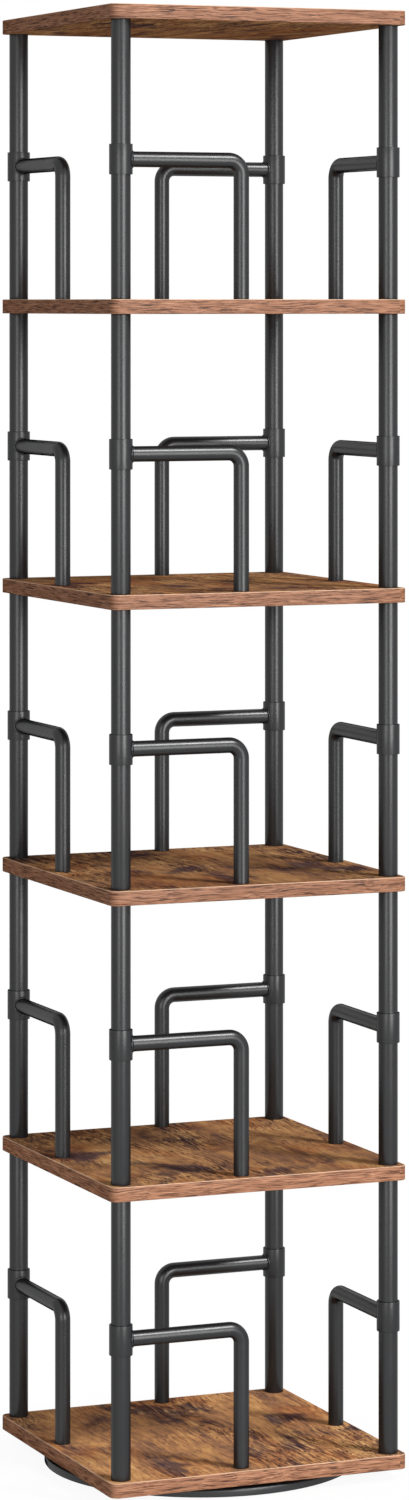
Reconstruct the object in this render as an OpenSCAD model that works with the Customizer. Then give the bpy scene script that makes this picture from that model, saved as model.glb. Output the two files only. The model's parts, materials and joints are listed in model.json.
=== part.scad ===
// Rotating bookshelf: square shelves on round posts, with bent arms that keep the books in,
// on a round base with a ball bearing turntable. Millimetres, +Z up. The origin lies on the
// floor, on the axis that the shelf turns about.

/* [Shelves] */
// Number of tiers between shelves
tiers = 5; // [2:1:5]
// Side of a square shelf, with its edge band
shelf_w = 330; // [300:5:400]
// Thickness of a shelf
shelf_t = 15; // [12:1:22]
// Radius of a shelf's corners, seen from above
shelf_corner_r = 9; // [4:0.5:20]
// Clear height between one shelf and the next
tier_clear = 285; // [240:5:360]
// Thickness of the edge band
band_t = 1; // [0.5:0.1:2]

/* [Posts] */
// Outer diameter of a post
post_d = 20; // [18:0.5:24]
// Wall of a post's tube
post_wall = 1.2; // [0.8:0.1:2]
// Distance from a shelf's edge to a post's axis
post_inset = 15.5; // [14:0.5:30]
// Length of the threaded plug in each end of a post
post_plug_h = 14; // [13:1:20]

/* [Arms] */
// Outer diameter of an arm's tube
arm_d = 16; // [12:0.5:18]
// Wall of an arm's tube
arm_wall = 1.2; // [0.8:0.1:2]
// Distance from the post's axis to the axis of the arm's leg
arm_reach = 133; // [90:1:150]
// Height of the arm's level run above its shelf, on its axis
arm_rise = 142.5; // [90:0.5:200]
// Radius of the arm's bend, on its axis
arm_bend_r = 14; // [11:0.5:30]
// Length of the threaded plug in the arm's foot
arm_plug_h = 12; // [11:1:20]
// Wall of the sleeve round the post
sleeve_wall = 1.8; // [1:0.1:3]
// Height of the sleeve
sleeve_h = 31; // [20:1:50]

/* [Base] */
// Height of the base's rim
base_h = 8; // [7:0.5:12]
// Thickness of the base's sheet
base_sheet = 1.5; // [1:0.1:2]
// Radius of the rim's upper edge
base_round = 2.5; // [2:0.1:4]
// Gap between the floor and the rim
base_lift = 1; // [0.5:0.5:2]
// Gap between the base and the lowest shelf
base_gap = 3; // [2:0.5:6]
// Gap between the floor and the well that holds the bearing
well_lift = 2.5; // [2.5:0.1:3]
// Gap between the bearing's outer ring and the wall of the well
well_gap = 5; // [2:0.5:10]
// Width of the well's floor inside the bearing's inner ring
well_lip = 15; // [5:1:30]
// Diameter of the hole that gives a screwdriver its way to the outer ring's screws
access_d = 12; // [10:1:14]
// Diameter of a rubber foot
foot_d = 18; // [10:1:24]
// Number of rubber feet
foot_count = 6; // [3:1:8]
// Distance from the base's edge to the middle of a foot
foot_inset = 19; // [13:1:28]

/* [Turntable bearing] */
// Diameter of the circle through the balls' middles
race_d = 156; // [130:1:190]
// Diameter of a ball
ball_d = 5; // [4:0.5:5]
// Number of balls
ball_count = 24; // [12:1:36]
// Radial gap between the two rings
ring_gap = 2; // [1.8:0.1:2.4]
// Radial width of the inner ring
inner_ring_w = 17; // [15:0.5:20]
// Radial width of the outer ring
outer_ring_w = 16; // [14.5:0.5:20]
// Gap between each ring and the part that it turns past
ring_side_gap = 0.6; // [0.4:0.1:0.8]
// Thickness of the strip that spaces the balls
cage_t = 1.2; // [0.8:0.1:1.2]
// Height of the strip that spaces the balls
cage_h = 6; // [5.6:0.2:6.6]

/* [Fasteners] */
// Thread diameter of the studs and bolts in the posts
stud_d = 8; // [6:1:10]
// Depth that a stud or bolt reaches into a post
stud_grip = 12; // [8:1:12]
// Diameter of a post bolt's head
bolt_head_d = 13; // [12:0.5:14]
// Height of a post bolt's head
bolt_head_h = 5; // [3:0.5:6]
// Outer diameter of a threaded insert in the top shelf
insert_d = 12; // [12:0.5:14]
// Length of a threaded insert in the top shelf
insert_h = 10; // [8:0.5:11]
// Thread diameter of the screw in an arm's foot
foot_screw_d = 5; // [4:0.5:6]
// Depth that this screw reaches into the arm's foot
foot_screw_grip = 10; // [6:1:11]
// Diameter of this screw's head
foot_screw_head_d = 9; // [8:0.5:11]
// Height of this screw's head
foot_screw_head_h = 3; // [2:0.5:4]
// Thread diameter of the bearing's screws
ring_screw_d = 4; // [3:0.5:4.5]
// Number of screws in each ring
ring_screw_count = 6; // [3:1:8]
// Diameter of the head of a screw in the inner ring
ring_screw_head_d = 7.5; // [7:0.5:8]
// Height of the head of a screw in the inner ring
ring_screw_head_h = 1.8; // [1.2:0.1:2]
// Depth that a screw reaches into the inner ring
ring_screw_grip = 5; // [4:0.5:5.5]
// Depth that a screw of the outer ring reaches into the shelf
wood_screw_grip = 10; // [7:0.5:10]

/* [Hidden] */
// Clearance between a sleeve and its post
sleeve_gap = 0.2;
// Clearance round a thread in its hole
thread_gap = 0.1;
// Clearance round a shank in a plain hole
shank_gap = 0.2;
// Clearance round a head in its counterbore
head_gap = 1;
// Depth that a recessed head lies below the surface
head_sink = 0.5;
// Depth of a blind hole past the end of its screw
hole_spare = 0.5;
// Clearance between a ball and its groove
race_gap = 0.2;
// Clearance between a ball and the cage
cage_gap = 0.1;
// Thickness of the glue under the edge band
glue_gap = 0.05;
// Overshoot of a cut past the face that it opens
cut = 1;

corners = ["front_left", "front_right", "back_right", "back_left"];
tier_pitch = tier_clear + shelf_t;
shelves = tiers + 1;
shelf_z = base_lift + base_h + base_gap;
post_xy = shelf_w / 2 - post_inset;
sleeve_d = post_d + 2 * (sleeve_gap + sleeve_wall);
base_top = base_lift + base_h;
// The base is as wide as a shelf
base_d = shelf_w;
seat_z = well_lift + base_sheet;
race_z = (seat_z + shelf_z) / 2;
inner_face_r = (race_d - ring_gap) / 2;
outer_face_r = (race_d + ring_gap) / 2;
ring_bore_r = inner_face_r - inner_ring_w;
ring_outer_r = outer_face_r + outer_ring_w;
well_r = ring_outer_r + well_gap;
well_hole_r = ring_bore_r - well_lip;
groove_r = ball_d / 2 + race_gap;
inner_screw_r = (ring_bore_r + race_d / 2 - groove_r) / 2;
outer_screw_r = (ring_outer_r + race_d / 2 + groove_r) / 2;
ring_screw_hole_d = ring_screw_d + 2 * shank_gap;
foot_screw_sink = foot_screw_head_h + head_sink;
bolt_sink = bolt_head_h + head_sink;

$fn = 48;

// Height of the underside of shelf i, counted from 1 at the bottom
function shelf_bottom(i) = shelf_z + (i - 1) * tier_pitch;
// Height of the upper face of shelf i
function shelf_top(i) = shelf_bottom(i) + shelf_t;

// Puts its children at one corner's post, which is the front left one turned about the axis
module at_corner(c) {
    rotate([0, 0, 90 * c]) translate([-post_xy, -post_xy, 0]) children();
}

// Repeats its children round the axis, the first one on +X
module round_axis(count, r) {
    for (i = [0 : count - 1]) rotate([0, 0, 360 * i / count]) translate([r, 0, 0]) children();
}

// Square plate with rounded corners
module rounded_plate(w, r, h) {
    linear_extrude(h) {
        square([w - 2 * r, w], center = true);
        square([w, w - 2 * r], center = true);
        for (x = [-1, 1], y = [-1, 1]) translate([x, y] * (w / 2 - r)) circle(r);
    }
}

// Particleboard of a shelf, without its edge band or holes
module board(i) {
    core_w = shelf_w - 2 * (band_t + glue_gap);
    core_r = shelf_corner_r - band_t - glue_gap;
    translate([0, 0, shelf_bottom(i)]) rounded_plate(core_w, core_r, shelf_t);
}

// Holes under the feet of the four arms that stand on shelf i
module arm_foot_holes(i) {
    for (c = [0 : 3]) at_corner(c) translate([arm_reach, 0, shelf_bottom(i)]) {
        translate([0, 0, -cut]) cylinder(h = shelf_t + 2 * cut, d = foot_screw_d + 2 * shank_gap);
        translate([0, 0, -cut]) cylinder(h = foot_screw_sink + cut, d = foot_screw_head_d + head_gap);
    }
}

// Holes for the studs or bolts at the four corners of shelf i
module post_holes(i) {
    for (c = [0 : 3]) at_corner(c) translate([0, 0, shelf_bottom(i) - cut])
        cylinder(h = shelf_t + 2 * cut, d = stud_d + 2 * shank_gap);
}

// Lowest shelf: its bolts' heads are sunk, and the bearing's outer ring is screwed to it
module lowest_shelf() {
    color("sienna") difference() {
        board(1);
        arm_foot_holes(1);
        post_holes(1);
        for (c = [0 : 3]) at_corner(c) translate([0, 0, shelf_z - cut])
            cylinder(h = bolt_sink + cut, d = bolt_head_d + head_gap);
        round_axis(ring_screw_count, outer_screw_r) translate([0, 0, shelf_z - cut])
            cylinder(h = wood_screw_grip + hole_spare + cut, d = ring_screw_d + 2 * thread_gap);
    }
}

// Middle shelf: studs pass through it from post to post
module middle_shelf(i) {
    color("sienna") difference() {
        board(i);
        arm_foot_holes(i);
        post_holes(i);
    }
}

// Top shelf: its upper face is clean, with pockets for the inserts below
module top_shelf() {
    color("sienna") difference() {
        board(shelves);
        for (c = [0 : 3]) at_corner(c) translate([0, 0, shelf_bottom(shelves) - cut])
            cylinder(h = insert_h + hole_spare + cut, d = insert_d + 2 * thread_gap);
    }
}

// Edge bands round all the shelves
module shelf_edge_bands() {
    color("peru") for (i = [1 : shelves]) translate([0, 0, shelf_bottom(i)]) difference() {
        rounded_plate(shelf_w, shelf_corner_r, shelf_t);
        translate([0, 0, -cut])
            rounded_plate(shelf_w - 2 * band_t, shelf_corner_r - band_t, shelf_t + 2 * cut);
    }
}

// Post of tier t at corner c: a tube with a threaded plug welded in each end
module post(t, c) {
    color("dimgray") at_corner(c) translate([0, 0, shelf_top(t)]) difference() {
        cylinder(h = tier_clear, d = post_d);
        translate([0, 0, post_plug_h])
            cylinder(h = tier_clear - 2 * post_plug_h, d = post_d - 2 * post_wall);
        translate([0, 0, -cut]) cylinder(h = tier_clear + 2 * cut, d = stud_d + 2 * thread_gap);
    }
}

// Rod of diameter d along the arm's route: out from the post, round the bend, down to foot_z
module arm_route(d, foot_z) {
    translate([0, 0, arm_rise]) rotate([0, 90, 0]) cylinder(h = arm_reach - arm_bend_r, d = d);
    translate([arm_reach - arm_bend_r, 0, arm_rise - arm_bend_r]) rotate([90, 0, 0])
        rotate_extrude(angle = 90) translate([arm_bend_r, 0]) circle(d = d);
    translate([arm_reach, 0, foot_z]) cylinder(h = arm_rise - arm_bend_r - foot_z, d = d);
}

// Solid cylinder that the arm's sleeve is cut from
module sleeve_blank() {
    translate([0, 0, arm_rise - sleeve_h / 2]) cylinder(h = sleeve_h, d = sleeve_d);
}

// Arm of tier t at corner c: a bent tube with its sleeve and foot plug welded on
module arm(t, c) {
    color("dimgray") at_corner(c) translate([0, 0, shelf_top(t)]) difference() {
        union() {
            sleeve_blank();
            arm_route(arm_d, 0);
        }
        translate([0, 0, arm_rise - sleeve_h / 2 - cut])
            cylinder(h = sleeve_h + 2 * cut, d = post_d + 2 * sleeve_gap);
        difference() {
            arm_route(arm_d - 2 * arm_wall, arm_plug_h);
            sleeve_blank();
        }
        translate([arm_reach, 0, -cut])
            cylinder(h = arm_plug_h + 2 * cut, d = foot_screw_d + 2 * thread_gap);
    }
}

// Section of the base outside its well, filled in below, drawn in by a thickness t
module pan_section(t, bottom) {
    r = base_d / 2 - t;
    top = base_top - t;
    bend = base_round - t;
    translate([0, bottom]) square([r, top - bend - bottom]);
    translate([0, bottom]) square([r - bend, top - bottom]);
    translate([r - bend, top - bend]) circle(bend);
}

// Pressed steel base: a rolled rim, a flat ring and a sunk well for the bearing
module base_pan() {
    color("dimgray") difference() {
        rotate_extrude($fn = 96) {
            difference() {
                pan_section(0, base_lift);
                pan_section(base_sheet, base_lift - cut);
                translate([0, base_lift - cut]) square([well_r, base_h + 2 * cut]);
            }
            translate([well_r, well_lift]) square([base_sheet, base_top - well_lift]);
            translate([well_hole_r, well_lift])
                square([well_r + base_sheet - well_hole_r, base_sheet]);
        }
        round_axis(ring_screw_count, inner_screw_r) translate([0, 0, well_lift - cut])
            cylinder(h = base_sheet + 2 * cut, d = ring_screw_hole_d);
        translate([outer_screw_r, 0, well_lift - cut])
            cylinder(h = base_sheet + 2 * cut, d = access_d);
    }
}

// Rubber feet under the flat ring of the base
module rubber_feet() {
    color("black") round_axis(foot_count, base_d / 2 - foot_inset)
        cylinder(h = base_top - base_sheet, d = foot_d);
}

// Groove that the balls run in
module race_groove() {
    rotate_extrude($fn = 96) translate([race_d / 2, race_z]) circle(groove_r);
}

// Inner ring of the bearing, on the well's floor
module bearing_inner_ring() {
    ring_h = shelf_z - ring_side_gap - seat_z;
    color("silver") difference() {
        translate([0, 0, seat_z]) cylinder(h = ring_h, r = inner_face_r, $fn = 96);
        translate([0, 0, seat_z - cut]) cylinder(h = ring_h + 2 * cut, r = ring_bore_r, $fn = 96);
        race_groove();
        round_axis(ring_screw_count, inner_screw_r) translate([0, 0, seat_z - cut])
            cylinder(h = ring_screw_grip + hole_spare + cut, d = ring_screw_d + 2 * thread_gap);
    }
}

// Outer ring of the bearing, under the lowest shelf
module bearing_outer_ring() {
    low = seat_z + ring_side_gap;
    ring_h = shelf_z - low;
    color("silver") difference() {
        translate([0, 0, low]) cylinder(h = ring_h, r = ring_outer_r, $fn = 96);
        translate([0, 0, low - cut]) cylinder(h = ring_h + 2 * cut, r = outer_face_r, $fn = 96);
        race_groove();
        round_axis(ring_screw_count, outer_screw_r) translate([0, 0, low]) {
            translate([0, 0, -cut]) cylinder(h = ring_h + 2 * cut, d = ring_screw_hole_d);
            countersink(2 * shank_gap);
        }
    }
}

// Cone of a countersunk head with its wide end down, widened by gap
module countersink(gap) {
    wide_d = 2 * ring_screw_d + gap;
    cylinder(h = (wide_d - ring_screw_d - gap) / 2, d1 = wide_d, d2 = ring_screw_d + gap);
}

// Strip between the rings, with a hole for each ball
module ball_cage() {
    color("ivory") difference() {
        translate([0, 0, race_z - cage_h / 2])
            cylinder(h = cage_h, d = race_d + cage_t, $fn = 96);
        translate([0, 0, race_z - cage_h / 2 - cut])
            cylinder(h = cage_h + 2 * cut, d = race_d - cage_t, $fn = 96);
        round_axis(ball_count, race_d / 2) translate([-ball_d / 2, 0, race_z])
            rotate([0, 90, 0]) cylinder(h = ball_d, d = ball_d + 2 * cage_gap);
    }
}

// Balls between the rings
module bearing_balls() {
    color("lightsteelblue") round_axis(ball_count, race_d / 2) translate([0, 0, race_z])
        sphere(d = ball_d);
}

// Screws up through the base into the inner ring
module inner_ring_screws() {
    color("silver") round_axis(ring_screw_count, inner_screw_r) {
        translate([0, 0, well_lift - ring_screw_head_h])
            cylinder(h = ring_screw_head_h, d = ring_screw_head_d);
        translate([0, 0, well_lift]) cylinder(h = base_sheet + ring_screw_grip, d = ring_screw_d);
    }
}

// Countersunk screws up through the outer ring into the lowest shelf
module outer_ring_screws() {
    low = seat_z + ring_side_gap + shank_gap;
    color("silver") round_axis(ring_screw_count, outer_screw_r) translate([0, 0, low]) {
        countersink(0);
        cylinder(h = shelf_z + wood_screw_grip - low, d = ring_screw_d);
    }
}

// Studs that join one post to the next through the middle shelves
module joining_studs() {
    color("silver") for (i = [2 : tiers], c = [0 : 3]) at_corner(c)
        translate([0, 0, shelf_bottom(i) - stud_grip])
            cylinder(h = shelf_t + 2 * stud_grip, d = stud_d);
}

// Short studs from the highest posts into the inserts
module top_studs() {
    color("silver") for (c = [0 : 3]) at_corner(c)
        translate([0, 0, shelf_bottom(shelves) - stud_grip])
            cylinder(h = stud_grip + insert_h, d = stud_d);
}

// Threaded inserts in the underside of the top shelf
module top_inserts() {
    color("goldenrod") for (c = [0 : 3]) at_corner(c)
        translate([0, 0, shelf_bottom(shelves)]) difference() {
            cylinder(h = insert_h, d = insert_d);
            translate([0, 0, -cut]) cylinder(h = insert_h + 2 * cut, d = stud_d + 2 * thread_gap);
        }
}

// Bolts up through the lowest shelf into the lowest posts
module post_bolts() {
    color("silver") for (c = [0 : 3]) at_corner(c) translate([0, 0, shelf_z + head_sink]) {
        cylinder(h = bolt_head_h, d = bolt_head_d);
        cylinder(h = shelf_t - head_sink + stud_grip, d = stud_d);
    }
}

// Screws up through the shelves into the feet of the arms
module arm_screws() {
    color("silver") for (i = [1 : tiers], c = [0 : 3]) at_corner(c)
        translate([arm_reach, 0, shelf_bottom(i) + head_sink]) {
            cylinder(h = foot_screw_head_h, d = foot_screw_head_d);
            cylinder(h = shelf_t - head_sink + foot_screw_grip, d = foot_screw_d);
        }
}

lowest_shelf();  // shelf_1
for (i = [2 : tiers]) middle_shelf(i);
top_shelf();
shelf_edge_bands();
for (t = [1 : tiers], c = [0 : 3]) {
    post(t, c);
    arm(t, c);
}
base_pan();
rubber_feet();
bearing_inner_ring();
bearing_outer_ring();
ball_cage();
bearing_balls();
inner_ring_screws();
outer_ring_screws();
joining_studs();
top_studs();
top_inserts();
post_bolts();
arm_screws();
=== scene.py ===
# %% [markdown]
# A rotating bookshelf, dressed for a studio picture
#
# The shelf comes in as a fixed frame: named solids in metres, on three bodies. The base
# stands still, the carousel turns on it, and the balls roll between them. This script gives
# the boards a rustic laminate, the tubes a powder coat and the small parts their metal, and
# makes finer meshes for what shows: bent tubes with a weld bead, edge bands with eased
# arrises, a pressed base and screws with a hexagon socket.

# %% Load the frame
import json
import math

import bmesh
import bpy
import numpy as np
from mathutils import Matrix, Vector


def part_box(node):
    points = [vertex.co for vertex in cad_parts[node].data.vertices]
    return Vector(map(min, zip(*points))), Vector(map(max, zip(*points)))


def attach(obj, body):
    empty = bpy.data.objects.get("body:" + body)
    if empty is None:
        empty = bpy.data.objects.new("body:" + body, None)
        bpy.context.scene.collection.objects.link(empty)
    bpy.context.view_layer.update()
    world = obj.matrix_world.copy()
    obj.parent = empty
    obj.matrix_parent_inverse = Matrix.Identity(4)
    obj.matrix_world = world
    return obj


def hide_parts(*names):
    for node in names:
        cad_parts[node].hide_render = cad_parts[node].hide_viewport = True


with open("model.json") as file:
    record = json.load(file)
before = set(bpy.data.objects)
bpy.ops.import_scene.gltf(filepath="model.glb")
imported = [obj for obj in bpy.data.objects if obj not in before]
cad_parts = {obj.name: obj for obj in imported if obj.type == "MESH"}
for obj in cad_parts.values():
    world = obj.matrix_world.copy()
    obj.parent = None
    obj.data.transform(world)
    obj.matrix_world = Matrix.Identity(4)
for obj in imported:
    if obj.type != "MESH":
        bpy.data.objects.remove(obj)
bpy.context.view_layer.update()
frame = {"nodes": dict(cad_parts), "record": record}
nodes = frame["nodes"]

# %% [markdown]
# Sizes
#
# A length that a solid's box tells is read from it and not typed in again, so a post's new
# mesh stands exactly where its solid does. What a box can't tell, such as the radius of a
# bend, and stock sizes are named values in the cell that first needs them. Lengths are in
# metres.

# %% Sizes read from the solids
MM = 0.001
CORNERS = ["front_left", "front_right", "back_right", "back_left"]
TIERS = sum(name.startswith("post_") and name.endswith("front_left") for name in nodes)
SHELVES = TIERS + 1
ARM_R = 8 * MM

post_low, post_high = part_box("post_1_front_left")
post_xy = abs(post_low[0] + post_high[0]) / 2
post_r = (post_high[0] - post_low[0]) / 2
post_h = post_high[2] - post_low[2]
tier_floor = [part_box(f"post_{t}_front_left")[0][2] for t in range(1, TIERS + 1)]
arm_low, arm_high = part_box("arm_1_front_left")
sleeve_r = (arm_high[1] - arm_low[1]) / 2
arm_reach = arm_high[0] - ARM_R + post_xy
sleeve_top = arm_high[2] - tier_floor[0]
shelf_low, shelf_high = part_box("shelf_1")
shelf_thick = shelf_high[2] - shelf_low[2]
print("posts at", round(post_xy, 4), "radius", round(post_r, 4), "reach", round(arm_reach, 4))

# %% [markdown]
# Surfaces from grids
#
# The pieces could be modelled by hand, but each of them follows a rule: it is one grid of
# points or a few. A grid has rows along one parameter and columns along another, and
# neighbouring points make four-sided faces. A profile turned about an axis and a circle
# carried along a bent route are both such grids, so one helper turns any of them into
# faces. A closed direction joins its last row or column to its first.

# %% Grids of points and their faces


def grid_faces(rows, columns, close_rows, close_columns, first=0):
    """Corner numbers of the four-sided faces between neighbouring points of a grid."""
    i = np.arange(rows if close_rows else rows - 1)
    j = np.arange(columns if close_columns else columns - 1)
    i, j = np.meshgrid(i, j, indexing="ij")
    a = i * columns + j
    b = i * columns + (j + 1) % columns
    c = (i + 1) % rows * columns + (j + 1) % columns
    d = (i + 1) % rows * columns + j
    return first + np.stack([a, b, c, d], -1).reshape(-1, 4)


class Shell:
    """Points, faces and, where a pattern needs them, flat coordinates for each face's corners."""

    def __init__(self):
        self.points, self.faces, self.flat, self.count = [], [], [], 0

    def grid(self, points, close_rows=False, close_columns=False, flat=None):
        """Adds a grid of points, rows by columns by three."""
        rows, columns = points.shape[:2]
        faces = grid_faces(rows, columns, close_rows, close_columns, self.count)
        self.faces.extend(faces.tolist())
        self.points.append(points.reshape(-1, 3))
        self.count += rows * columns
        if flat is not None:
            self.flat.append(flat)

    def cap(self, ring, turn=False):
        """Adds one many-sided face over a ring of points of its own."""
        order = range(self.count, self.count + len(ring))
        self.faces.append(list(reversed(order)) if turn else list(order))
        self.points.append(ring)
        self.count += len(ring)

    def shifted(self, x, y, z):
        """Shifts all points so far."""
        self.points = [p + np.array([x, y, z]) for p in self.points]
        return self

    def turned(self, matrix):
        """Turns all points so far by a matrix."""
        self.points = [p @ matrix.T for p in self.points]
        return self


def quarter_turn(c):
    """Matrix that turns the front left corner to corner c, counter-clockwise from above."""
    cosine, sine = [(1, 0), (0, 1), (-1, 0), (0, -1)][c]
    return np.array([[cosine, -sine, 0], [sine, cosine, 0], [0, 0, 1]], float)


def arc(middle, radius, start_deg, end_deg, steps):
    """Points along an arc in a plane: middle plus radius times cosine and sine of the angle."""
    angle = np.radians(np.linspace(start_deg, end_deg, steps))
    return np.array(middle) + radius * np.stack([np.cos(angle), np.sin(angle)], -1)


def lathe(profile, turns):
    """Grid of a profile turned about Z: radius times cosine and sine of the angle, and height."""
    angle = np.linspace(0, 2 * np.pi, turns, endpoint=False)
    radius, height = profile[:, 0][:, None], profile[:, 1][:, None]
    return np.stack([radius * np.cos(angle), radius * np.sin(angle), height + 0 * angle], -1)


print("grid helpers ready")

# %% [markdown]
# From a shell to a piece
#
# A mesh made of grids has doubled points where a profile meets its axis or a cap lies on a
# tube's end. They are merged, because only a closed mesh has an inside and an outside for
# its normals. Smooth shading rounds the facets off, except at sharp edges, which are found
# by their angle. Each piece says which body it rides on, from which slot of the record its
# finish comes, and which solid it stands for.

# %% Meshes, objects and pieces
MERGE = 1e-6
SHARP_DEG = 35


def mesh_of(name, shell):
    """Mesh of a shell's points and faces."""
    mesh = bpy.data.meshes.new(name)
    mesh.from_pydata(np.concatenate(shell.points).tolist(), [], shell.faces)
    return mesh


def object_of(name, data):
    """Object of a mesh, a lamp or a camera, linked to the scene."""
    made = bpy.data.objects.new(name, data)
    bpy.context.scene.collection.objects.link(made)
    return made


def join_close_points(mesh, distance=MERGE, flatten=False):
    """Merges points that lie on one another, which closes seams and caps, and dissolves faces
    without an area where a cut may have left some."""
    work = bmesh.new()
    work.from_mesh(mesh)
    bmesh.ops.remove_doubles(work, verts=work.verts, dist=distance)
    if flatten:
        bmesh.ops.dissolve_degenerate(work, dist=distance, edges=work.edges)
    bmesh.ops.recalc_face_normals(work, faces=work.faces)
    work.to_mesh(mesh)
    work.free()


def make_piece(name, shell, body, slot_name, stands_for, sharp_deg=SHARP_DEG):
    """Makes a shell into a smooth-shaded piece that rides on a body and replaces a node."""
    mesh = mesh_of(name, shell)
    if shell.flat:
        corners = np.concatenate(shell.flat).astype(np.float32)
        mesh.uv_layers.new(name="UVMap").data.foreach_set("uv", corners.ravel())
    join_close_points(mesh)
    mesh.shade_smooth()
    mesh.set_sharp_from_angle(angle=math.radians(sharp_deg))
    mesh.materials.append(MATERIALS[slot_name])
    piece = object_of(name, mesh)
    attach(piece, body)
    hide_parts(stands_for)
    return piece


print("piece helpers ready")

# %% [markdown]
# Colours and nodes
#
# A material is a tree of nodes, and one small class adds and links them in a few words.
# Colours are written as they look on a screen, from 0 to 255, and turned into the linear
# values that the shaders use.

# %% Helpers for node trees


def screen(red, green, blue):
    """Linear colour of a screen colour: each part goes back through the screen's curve."""
    parts = np.array([red, green, blue]) / 255
    linear = np.where(parts <= 0.04045, parts / 12.92, ((parts + 0.055) / 1.055) ** 2.4)
    return (*linear.tolist(), 1.0)


def dimmed(colour, share):
    """Linear colour times a share."""
    return tuple(share * part for part in colour[:3]) + (1.0,)


class Tree:
    """Adds nodes to a tree; a value is a number, a colour or another node's output."""

    def __init__(self, tree):
        self.tree = tree

    def link(self, output, socket):
        """Links an output to an input."""
        self.tree.links.new(output, socket)

    def add(self, kind, values=None, **settings):
        """One node: settings are its own properties, and values fill or link its inputs."""
        made = self.tree.nodes.new(kind)
        for key, value in settings.items():
            setattr(made, key, value)
        for key, value in (values or {}).items():
            if isinstance(value, bpy.types.NodeSocket):
                self.link(value, made.inputs[key])
            else:
                made.inputs[key].default_value = value
        return made

    def place(self):
        """Object coordinates, which are metres in the shelf's own frame."""
        return self.add("ShaderNodeTexCoord").outputs["Object"]

    def part(self, vector, axis):
        """One part of a vector: 0 is X, 1 is Y and 2 is Z."""
        return self.add("ShaderNodeSeparateXYZ", {0: vector}).outputs[axis]

    def calc(self, kind, first, second=0.0, clamp=False):
        """Result of a Math node."""
        made = self.add("ShaderNodeMath", {0: first, 1: second}, operation=kind, use_clamp=clamp)
        return made.outputs[0]

    def weighted(self, *parts):
        """Sum of values, each times its weight; a part is (weight, value)."""
        total = None
        for weight, value in parts:
            share = self.calc("MULTIPLY", value, weight)
            total = share if total is None else self.calc("ADD", total, share)
        return total

    def step(self, value, low, high, to_low=0.0, to_high=1.0, kind="SMOOTHSTEP"):
        """Value carried from low and high to to_low and to_high, and held beyond them."""
        made = self.add(
            "ShaderNodeMapRange",
            {"Value": value, "From Min": low, "From Max": high,
             "To Min": to_low, "To Max": to_high},
            interpolation_type=kind)
        return made.outputs["Result"]

    def mix(self, factor, first, second, blend="MIX"):
        """Colour between two colours, or their product."""
        made = self.add("ShaderNodeMix", {0: factor, 6: first, 7: second},
                        data_type="RGBA", blend_type=blend)
        return made.outputs[2]

    def noise(self, vector, scale=1.0, detail=4.0, rough=0.55, warp=0.0):
        """Noise from 0 to 1 at a vector."""
        made = self.add("ShaderNodeTexNoise", {"Vector": vector, "Scale": scale, "Detail": detail,
                                               "Roughness": rough, "Distortion": warp})
        return made.outputs[0]

    def patches(self, vector, cells, **noise):
        """Noise stretched so that it has so many cells a metre along X, Y and Z."""
        stretched = self.add("ShaderNodeMapping", {"Vector": vector, "Scale": cells})
        return self.noise(stretched.outputs[0], **noise)

    def ramp(self, value, stops):
        """Colour at a value along (place, colour) stops."""
        made = self.add("ShaderNodeValToRGB", {0: value})
        band = made.color_ramp
        while len(band.elements) < len(stops):
            band.elements.new(0.5)
        for element, (place, colour) in zip(band.elements, stops):
            element.position, element.color = place, colour
        return made.outputs[0]


print("node helpers ready")

# %% [markdown]
# Materials
#
# Each material of the shelf is one Principled BSDF. What is the same all over is set on its
# sockets, and what changes is fed to them. A height becomes a Bump. A rough skin shines less
# at a grazing view, because its pores and pimples hide one another there: Layer Weight says
# how far the surface faces away, and the shine fades with it. Without that fade the tubes'
# dark sides would be milky, since they mirror the white room.

# %% Helpers for materials
SHINE_WHOLE = 0.04
WOOD_SHINE, WOOD_DULL = 0.25, 0.68
COAT_SHINE, COAT_DULL = 0.53, 0.82


def new_material(name, roughness=0.5, metallic=0.0, specular=0.5):
    """Material with one Principled BSDF; gives its tree and that shader."""
    material = bpy.data.materials.new(name)
    material.use_nodes = True
    tree = Tree(material.node_tree)
    shader = material.node_tree.nodes["Principled BSDF"]
    shader.inputs["Roughness"].default_value = roughness
    shader.inputs["Metallic"].default_value = metallic
    shader.inputs["Specular IOR Level"].default_value = specular
    return material, tree, shader


def fading_shine(tree, shader, level, dull):
    """Shine that falls evenly from its level, where the surface faces the eye, to nothing,
    where it faces away by the share dull."""
    facing = tree.add("ShaderNodeLayerWeight", {"Blend": 0.5}).outputs["Facing"]
    fade = tree.step(facing, SHINE_WHOLE, dull, level, 0.0, kind="LINEAR")
    tree.link(fade, shader.inputs["Specular IOR Level"])


def raised(tree, shader, height, strength, distance):
    """Bump from a height, fed to the shader's normal."""
    values = {"Height": height, "Strength": strength, "Distance": distance}
    bump = tree.add("ShaderNodeBump", values)
    tree.link(bump.outputs[0], shader.inputs["Normal"])


print("material helpers ready")

# %% [markdown]
# Shared effects
#
# Two effects serve several materials, so each is a node group with named sockets, built
# once: the fibres of a wood print, and the fine pimples of a powder coat. Copies of the
# nodes would look the same, but a group keeps them alike. The groups only put out vectors,
# heights and masks, and each material keeps its own shader.
#
# Wood fibres are noise that is much longer than it is wide. Straight ones look like a
# printer's fault, so a slow wave bends them first.

# %% The groups: wood fibres and powder pimples
FLOAT, VECTOR = "NodeSocketFloat", "NodeSocketVector"
WAVES = 9.0
FINER = (4.5, 2.2, 4.5)
DRIFTS = 38.0


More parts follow.
